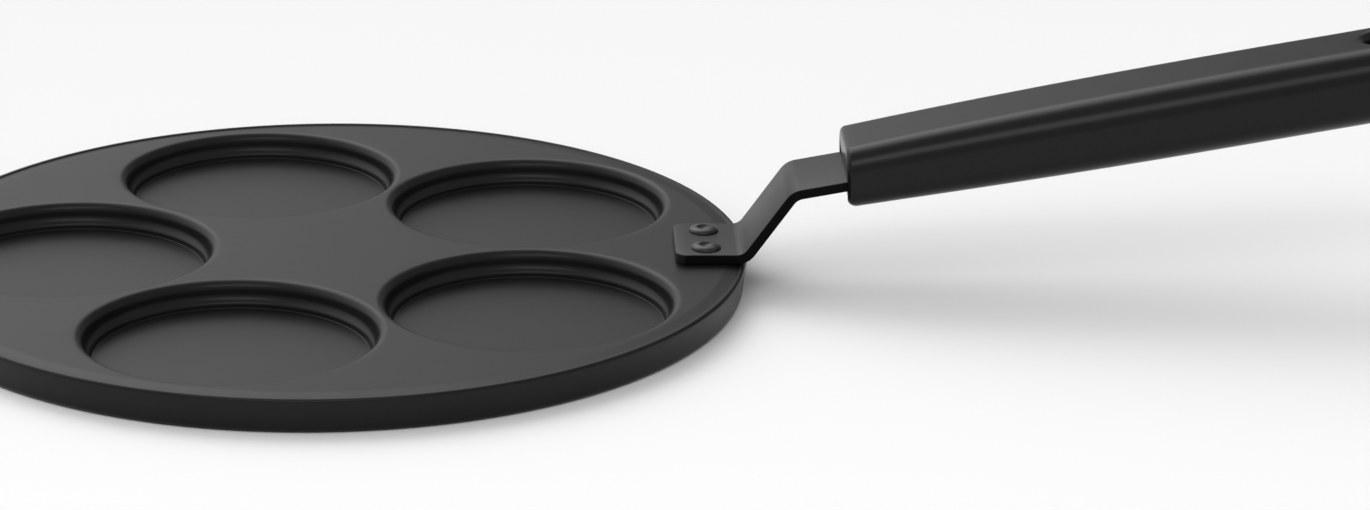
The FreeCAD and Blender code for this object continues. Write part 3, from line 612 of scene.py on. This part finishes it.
# %% The side strips past the hole
outer = slice(len(flat_parts) - 1, len(rear_y) - len(flat_parts) + 1)
strip_at = HOLE_AT - FLAT_HALF / np.tan(np.concatenate([[corner_ray], side_rays]))
for side in (1, -1):
    grip_shell.add(grip_points(strip_at[:, None], side * rear_y[outer], rear_z[outer]))
print("strips from", round(strip_at[0] / MM, 1), "to", round(strip_at[-1] / MM, 1), "mm")

# %% The rays round the hole, from the upper flat through it to the lower flat
TINY = 1e-9
HOLE_STEPS = 8
rays = np.concatenate([front_rays, side_rays])
rays = math.pi - np.concatenate([-rays[:0:-1], rays])
reach = np.minimum(FLAT_HALF / np.maximum(np.abs(np.sin(rays)), TINY),
                   STRAIGHT / np.maximum(-np.cos(rays), TINY))
hole_turns = quarter(HOLE_STEPS)
hole_in = HOLE_RADIUS + HOLE_ROUND * (1 - np.sin(hole_turns))
hole_down = HOLE_ROUND * (1 - np.cos(hole_turns))
hole_r = np.concatenate([hole_in, hole_in[::-1]])
hole_z = np.concatenate([REAR_ABOVE - hole_down, hole_down[::-1] - REAR_BELOW])
sheet_r = np.concatenate([[reach], np.repeat(hole_r[:, None], len(rays), 1), [reach]])
sheet_z = np.concatenate([[REAR_ABOVE], hole_z, [-REAR_BELOW]])[:, None]
grip_shell.add(grip_points(HOLE_AT + sheet_r * np.cos(rays), sheet_r * np.sin(rays), sheet_z))
print("hole", 2 * HOLE_RADIUS / MM, "mm wide and", round((hole_z[0] - hole_z[-1]) / MM, 1), "mm long")

# %% The end, turned about the hole's axis
END_STEPS = 48
end_turns = np.linspace(-math.pi / 2, math.pi / 2, END_STEPS + 1)
loop_r = np.concatenate([hole_r[::-1], rear_y[outer], hole_r[-1:]])[:, None]
loop_z = np.concatenate([hole_z[::-1], rear_z[outer], hole_z[-1:]])[:, None]
grip_shell.add(grip_points(HOLE_AT + loop_r * np.cos(end_turns), loop_r * np.sin(end_turns), loop_z))
grip = grip_shell.build("moulded_grip")

# %% [markdown]
# The screw beneath the grip
#
# A screw goes up through the tang from a recess in the grip's belly. The recess is a plain round
# hole in a nearly flat place, so it is cut with a boolean. The screw is turned like the rivets, and
# its socket is made by letting the rings of its face become hexagons before they go down.

# %% Cut the recess
SCREW_AT = 45.0 * MM
SCREW_HEAD = 3.9 * MM
SCREW_SEAT = 4.7 * MM
RECESS_RADIUS = SCREW_HEAD + 0.15 * MM
RECESS_END = 20.0 * MM


def on_screw_axis(radii, heights, turns):
    """Rings about the screw's axis, which stands square to the grip.

    Each point lies at radius * (cosine, sine) of its turn from the axis, at its height.
    """
    return grip_points(SCREW_AT + radii * np.cos(turns), radii * np.sin(turns), heights)


recess_radii = np.array([0, RECESS_RADIUS, RECESS_RADIUS, 0])[:, None]
recess_heights = np.array([-RECESS_END, -RECESS_END, -SCREW_SEAT, -SCREW_SEAT])[:, None]
recess = Shell()
recess.add(on_screw_axis(recess_radii, recess_heights, AROUND), wrap=True)
cut(grip, [recess.build("recess")])

# %% Turn the screw
SCREW_RADIUS = 2.0 * MM
SCREW_LOW = SCREW_SEAT + 2.6 * MM
SCREW_TIP = 4.9 * MM
SCREW_EDGE = 0.6 * MM
SOCKET_HALF = 1.25 * MM
SOCKET_DEPTH = 1.4 * MM
HEAD_STEPS = 6
SCREW_STEPS = 72
head_turns = quarter(HEAD_STEPS)
turned = np.concatenate([
    [[0, SCREW_TIP], [SCREW_RADIUS - SCREW_EDGE, SCREW_TIP],
     [SCREW_RADIUS, SCREW_TIP - SCREW_EDGE], [SCREW_RADIUS, -SCREW_SEAT],
     [SCREW_HEAD, -SCREW_SEAT]],
    np.stack([SCREW_HEAD - SCREW_EDGE * (1 - np.cos(head_turns)),
              -SCREW_LOW + SCREW_EDGE * (1 - np.sin(head_turns))], -1)])
screw_turns = circle(SCREW_STEPS)
hexagon = SOCKET_HALF / np.cos((screw_turns % (math.pi / 3)) - math.pi / 6)
screw_radii = np.concatenate([turned[:, :1] + 0 * screw_turns, [hexagon, hexagon, 0 * hexagon]])
socket_floor = SOCKET_DEPTH - SCREW_LOW
screw_heights = np.concatenate([turned[:, 1], [-SCREW_LOW, socket_floor, socket_floor]])[:, None]
screw_shell = Shell()
screw_shell.add(on_screw_axis(screw_radii, screw_heights, screw_turns), wrap=True)
screw = screw_shell.build("socket_screw", crease=35)

# %% [markdown]
# Every piece on its body
#
# The pan has no joints, so every piece rides on the one body, and stands for its CAD node. A piece
# could also be laid over its node, but then the CAD's facets would show through in places.

# %% Ride and replace
for piece, node, slot in ((plate, "pan_plate", "plate_coating"), (strap, "handle_strap", "strap_paint"),
                          (rivets, "strap_rivets", "rivet_metal"), (grip, "handle_grip", "grip_resin"),
                          (screw, "grip_screw", "screw_steel")):
    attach(piece, "root")
    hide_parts(node)
    print(piece.name, "stands for", node)

# %% [markdown]
# Shader maths in plain Python
#
# A small class wraps a socket, so that sums on it add Math nodes. Every other node comes from one
# method, which sets the node's own settings first and then its sockets. The nodes could be placed
# by hand in the shader editor, but written out they can be read and changed in one place.

# %% Sockets as values, and nodes from one method
class Value:
    """A shader socket that can be added to and multiplied like a number."""

    def __init__(self, nodes, socket):
        self.nodes = nodes
        self.socket = socket

    def __add__(self, other):
        return self.nodes.maths("ADD", self, other)

    def __mul__(self, other):
        return self.nodes.maths("MULTIPLY", self, other)

    __radd__ = __add__
    __rmul__ = __mul__


class Nodes:
    """A node tree of a material or the world, and the ways to add to it."""

    def __init__(self, tree):
        self.tree = tree

    def node(self, kind, settings, sockets, output=0):
        """Adds a node: its settings first, then the values or links of its sockets."""
        node = self.tree.nodes.new(kind)
        for key, value in settings.items():
            setattr(node, key, value)
        for key, value in sockets.items():
            self.feed(node.inputs[key], value)
        return Value(self, node.outputs[output])

    def feed(self, socket, value):
        """Links a value to a socket, or writes a plain number, vector or colour into it."""
        if isinstance(value, Value):
            self.tree.links.new(value.socket, socket)
        else:
            socket.default_value = value

    def maths(self, operation, first, second=0.0):
        """A Math node on one or two numbers."""
        return self.node("ShaderNodeMath", {"operation": operation}, {0: first, 1: second})

    def span(self, value, start, end, low=0.0, high=1.0, way="LINEAR"):
        """Goes from low to high while the value goes from start to end, and stops there."""
        return self.node("ShaderNodeMapRange", {"interpolation_type": way},
                         {"Value": value, "From Min": start, "From Max": end,
                          "To Min": low, "To Max": high}, "Result")


print("node names are those of Blender", bpy.app.version_string)

# %% A recipe for one material
# A Mix node has sockets for each kind of data, and these are the ones for colours.
COLOUR_A, COLOUR_B, COLOUR_OUT = 6, 7, 2


class Recipe(Nodes):
    """One material, with its Principled shader and its object coordinates."""

    def __init__(self, name, **constants):
        self.material = bpy.data.materials.new(name)
        self.material.use_nodes = True
        super().__init__(self.material.node_tree)
        self.shader = self.tree.nodes["Principled BSDF"]
        for key, value in constants.items():
            self.shader.inputs[key.replace("_", " ")].default_value = value
        self.place = self.node("ShaderNodeTexCoord", {}, {}, "Object")

    def noise(self, grain, detail=2):
        """Noise of about that grain size in metres."""
        return self.node("ShaderNodeTexNoise", {},
                         {"Vector": self.place, "Scale": 1 / grain, "Detail": detail}, "Fac")

    def blend(self, mask, first, second):
        """A colour between two others."""
        return self.node("ShaderNodeMix", {"data_type": "RGBA"},
                         {"Factor": mask, COLOUR_A: first, COLOUR_B: second}, COLOUR_OUT)

    def finish(self, colour, roughness, height, depth):
        """Links colour and roughness, and a bump of that depth in metres."""
        self.feed(self.shader.inputs["Base Color"], colour)
        self.feed(self.shader.inputs["Roughness"], roughness)
        bump = self.node("ShaderNodeBump", {}, {"Height": height, "Distance": depth}, "Normal")
        self.feed(self.shader.inputs["Normal"], bump)


print("colours of a Mix node are sockets", COLOUR_A, "and", COLOUR_B)

# %% [markdown]
# The plate's coating
#
# The casting is sprayed with a smooth dark non-stick film. It isn't a perfect mirror: its gloss is a
# little cloudy, it has a fine mineral speck, and the spray leaves a faint orange peel. A plain
# black would do from far off, but from near it would look like glass. So three noises of the sizes
# of those marks move the colour, the roughness and a very shallow bump.

# %% Coating
BLUE_TOUCH = 1.04
CLOUD_GRAIN, SPECK_GRAIN, PEEL_GRAIN = 18 * MM, 0.5 * MM, 1.6 * MM
PEEL_DEPTH = 0.004 * MM


def black(level):
    """A colour near black with a touch of blue."""
    return (level, level, level * BLUE_TOUCH, 1.0)


def wear(piece, recipe):
    """Gives a piece its finish in place of any other."""
    piece.data.materials.clear()
    piece.data.materials.append(recipe.material)
    print(piece.name, "wears", recipe.material.name, "of", len(recipe.tree.nodes), "nodes")


coating = Recipe("plate_coating", Specular_IOR_Level=0.2)
cloud = coating.noise(CLOUD_GRAIN, 3)
speck, peel = coating.noise(SPECK_GRAIN), coating.noise(PEEL_GRAIN)
coating.finish(coating.blend(cloud, black(0.0045), black(0.007)),
               0.28 + 0.08 * cloud + 0.04 * speck, peel + 0.4 * speck, PEEL_DEPTH)
wear(plate, coating)

# %% [markdown]
# Paint, rivet heads and resin
#
# The strap is painted a bit flatter than the plate, the rivets are a shade lighter, and the grip is
# moulded, so it takes the polish of its mould. All three are even blacks that differ in level,
# gloss and grain, so one function makes them and takes those as numbers.

# %% Even blacks
DRIFT_GRAIN = 9 * MM
GRAIN_DEPTH = 0.003 * MM


def even_black(name, levels, specular, roughness, grain):
    """A black whose level and gloss drift a little, under a fine grain."""
    recipe = Recipe(name, Specular_IOR_Level=specular)
    cloud = recipe.noise(DRIFT_GRAIN, 3)
    recipe.finish(recipe.blend(cloud, black(levels[0]), black(levels[1])),
                  roughness + 0.06 * cloud, recipe.noise(grain), GRAIN_DEPTH)
    return recipe


paint = even_black("strap_paint", (0.01, 0.014), 0.25, 0.36, 0.7 * MM)
wear(rivets, even_black("rivet_metal", (0.014, 0.021), 0.3, 0.24, 0.5 * MM))
wear(grip, even_black("grip_resin", (0.0045, 0.00675), 0.2, 0.23, 1.1 * MM))

# %% [markdown]
# The strap's cut edges
#
# The bar's long edges were cut and left unpolished, so they catch no sheen. Their colour is also
# painted darker than the paint on top: painted shade, which keeps the strap's outline dark against
# its glossy top. They could be a piece of their own, but they are the same bar. The distance from
# the strap's middle is a mask here: past the point where the edge's round begins it mixes in a
# second, matt shader with that darker, painted-shade colour.

# %% Matt edges with painted shade for the paint
EDGE_BAND = 0.05 * MM
from_middle = paint.maths("ABSOLUTE", paint.node("ShaderNodeSeparateXYZ", {}, {0: paint.place}, "Y"))
mask = paint.span(from_middle, STRAP_HALF_WIDTH - STRAP_EDGE, STRAP_HALF_WIDTH - EDGE_BAND)
# The edge shader's darker base colour is painted shade along the strap's edges; its high roughness and
# low specular make them matt.
matt_edge_painted_shade = paint.node("ShaderNodeBsdfPrincipled", {},
                   {"Base Color": black(0.003), "Roughness": 0.8, "Specular IOR Level": 0.08})
glossy = Value(paint, paint.shader.outputs["BSDF"])
surface = paint.node("ShaderNodeMixShader", {}, {0: mask, 1: glossy, 2: matt_edge_painted_shade})
paint.feed(paint.tree.nodes["Material Output"].inputs["Surface"], surface)
wear(strap, paint)

# %% [markdown]
# The screw's steel
#
# The screw is plain steel that has been handled. Its grey and its gloss drift together, so one
# noise serves for colour, roughness and bump.

# %% Steel
steel = Recipe("screw_steel", Metallic=1.0)
cloud = steel.noise(1.2 * MM, 3)
steel.finish(steel.blend(cloud, (0.45, 0.45, 0.44, 1), (0.6, 0.6, 0.59, 1)),
             0.28 + 0.12 * cloud, cloud, GRAIN_DEPTH)
wear(screw, steel)

# %% [markdown]
# The floor
#
# The pan stands on a plain white floor that runs out of the picture on all sides. A curved sheet
# behind the pan would do the same, but one large flat square shows the soft shadows and no edge.

# %% Floor
FLOOR_HALF = 6.0
FLOOR_CORNERS = ((-1, -1), (1, -1), (1, 1), (-1, 1))
floor_mesh = bpy.data.meshes.new("floor")
floor_mesh.from_pydata([(x * FLOOR_HALF, y * FLOOR_HALF, 0) for x, y in FLOOR_CORNERS], [],
                       [(0, 1, 2, 3)])
floor = bpy.data.objects.new("floor", floor_mesh)
bpy.context.scene.collection.objects.link(floor)
wear(floor, Recipe("floor_white", Base_Color=(0.93, 0.93, 0.93, 1), Roughness=0.9,
                   Specular_IOR_Level=0.1))

# %% [markdown]
# The light
#
# Dark gloss shows its surroundings more than its own colour, so most of the light is the world's: it
# is brightest behind the pan and on its left, which is what the flat tops and the lips reflect, and
# two wide soft glows are added there. Lamps in those places light the pan as well, but they throw
# too dark a shadow of the handle. One soft lamp stands in front, for the walls that face the camera.

# %% The world
# The plain sky's radiance in front and behind, and the cosines between which it changes.
FRONT, BEHIND_LEFT, BEHIND_RIGHT = 0.58, 0.82, 0.22
TO_BEHIND = (-0.1, 0.8)
TO_RIGHT = (-0.25, 0.2)
# Each glow's heading and height in degrees, the cosine at its edge, and its radiance.
GLOWS = ((-16, 48, 0.86, 2.3), (-75, 38, 0.75, 0.8))
world = bpy.data.worlds.new("studio")
bpy.context.scene.world = world
world.use_nodes = True
sky = Nodes(world.node_tree)
look = sky.node("ShaderNodeTexCoord", {}, {}, "Generated")


def toward(heading, height):
    """The direction with that heading from behind, clockwise from above, and height, in degrees."""
    heading, height = math.radians(heading), math.radians(height)
    return Vector((math.sin(heading) * math.cos(height), math.cos(heading) * math.cos(height),
                   math.sin(height)))


def facing(direction):
    """The cosine of the angle between a direction and the place in the sky."""
    return sky.node("ShaderNodeVectorMath", {"operation": "DOT_PRODUCT"},
                    {0: look, 1: direction}, "Value")


behind = sky.span(facing(toward(90, 0)), *TO_RIGHT, BEHIND_LEFT, BEHIND_RIGHT, "SMOOTHSTEP")
strength = sky.span(facing(toward(0, 0)), *TO_BEHIND, FRONT, behind, "SMOOTHSTEP")
for heading, height, edge, radiance in GLOWS:
    glow = facing(toward(heading, height))
    strength = strength + sky.span(glow, edge, 1.0, 0.0, radiance, "SMOOTHSTEP")
    print("glow at heading", heading, "height", height, "adds", radiance)
background = world.node_tree.nodes["Background"]
sky.feed(background.inputs["Color"], (1, 1, 1, 1))
sky.feed(background.inputs["Strength"], strength)

# %% The lamp in front
LAMP_AIM = Vector((0.1, 0, 0.02))
LAMP_HEADING, LAMP_HEIGHT, LAMP_DISTANCE = 190, 48, 1.8
LAMP_WIDTH, LAMP_DEPTH, LAMP_RADIANCE = 1.3, 0.65, 2.4
light = bpy.data.lights.new("fill_front", "AREA")
light.shape = "RECTANGLE"
light.size, light.size_y = LAMP_WIDTH, LAMP_DEPTH
light.energy = LAMP_RADIANCE * math.pi * LAMP_WIDTH * LAMP_DEPTH
lamp = bpy.data.objects.new("fill_front", light)
away = toward(LAMP_HEADING, LAMP_HEIGHT)
lamp.location = LAMP_AIM + away * LAMP_DISTANCE
lamp.rotation_euler = away.to_track_quat("Z", "Y").to_euler()
lamp.visible_camera = False
bpy.context.scene.collection.objects.link(lamp)
print("lamp of", round(light.energy, 2), "W at", [round(value, 2) for value in lamp.location])

# %% [markdown]
# The camera
#
# The picture looks down on the pan from its front, a little turned and rolled, through a long lens.
# A camera could be placed by eye, but then no edge would quite fall where it should. This view was
# worked out from the plate's oval and the places of the cups, so it is set as angles, a distance
# and a focal length in pixels of the picture.

# %% Camera at the photograph's angle
AZIMUTH = math.radians(-2.51)
ELEVATION = math.radians(19.06)
ROLL = math.radians(0.87)
DISTANCE = 1.30016
AIM = Vector((0.11203, 0.02428, 0.0))
FOCAL_PIXELS = 4127.39
IMAGE_WIDTH = 1370
SENSOR_WIDTH = 36

back = Vector((math.sin(AZIMUTH) * math.cos(ELEVATION), -math.cos(AZIMUTH) * math.cos(ELEVATION),
               math.sin(ELEVATION)))
level = Vector((math.cos(AZIMUTH), math.sin(AZIMUTH), 0))
tall = back.cross(level)
right = level * math.cos(ROLL) + tall * math.sin(ROLL)
up = tall * math.cos(ROLL) - level * math.sin(ROLL)
camera_data = bpy.data.cameras.new("camera")
camera_data.sensor_width = SENSOR_WIDTH
camera_data.lens = FOCAL_PIXELS * SENSOR_WIDTH / IMAGE_WIDTH
camera = bpy.data.objects.new("camera", camera_data)
turned_to = Matrix((right, up, back)).transposed().to_4x4()
camera.matrix_world = Matrix.Translation(AIM + back * DISTANCE) @ turned_to
bpy.context.scene.collection.objects.link(camera)
bpy.context.scene.camera = camera
bpy.context.scene.view_settings.view_transform = "Standard"
print("lens", round(camera_data.lens, 1), "mm at", [round(value, 3) for value in camera.location])
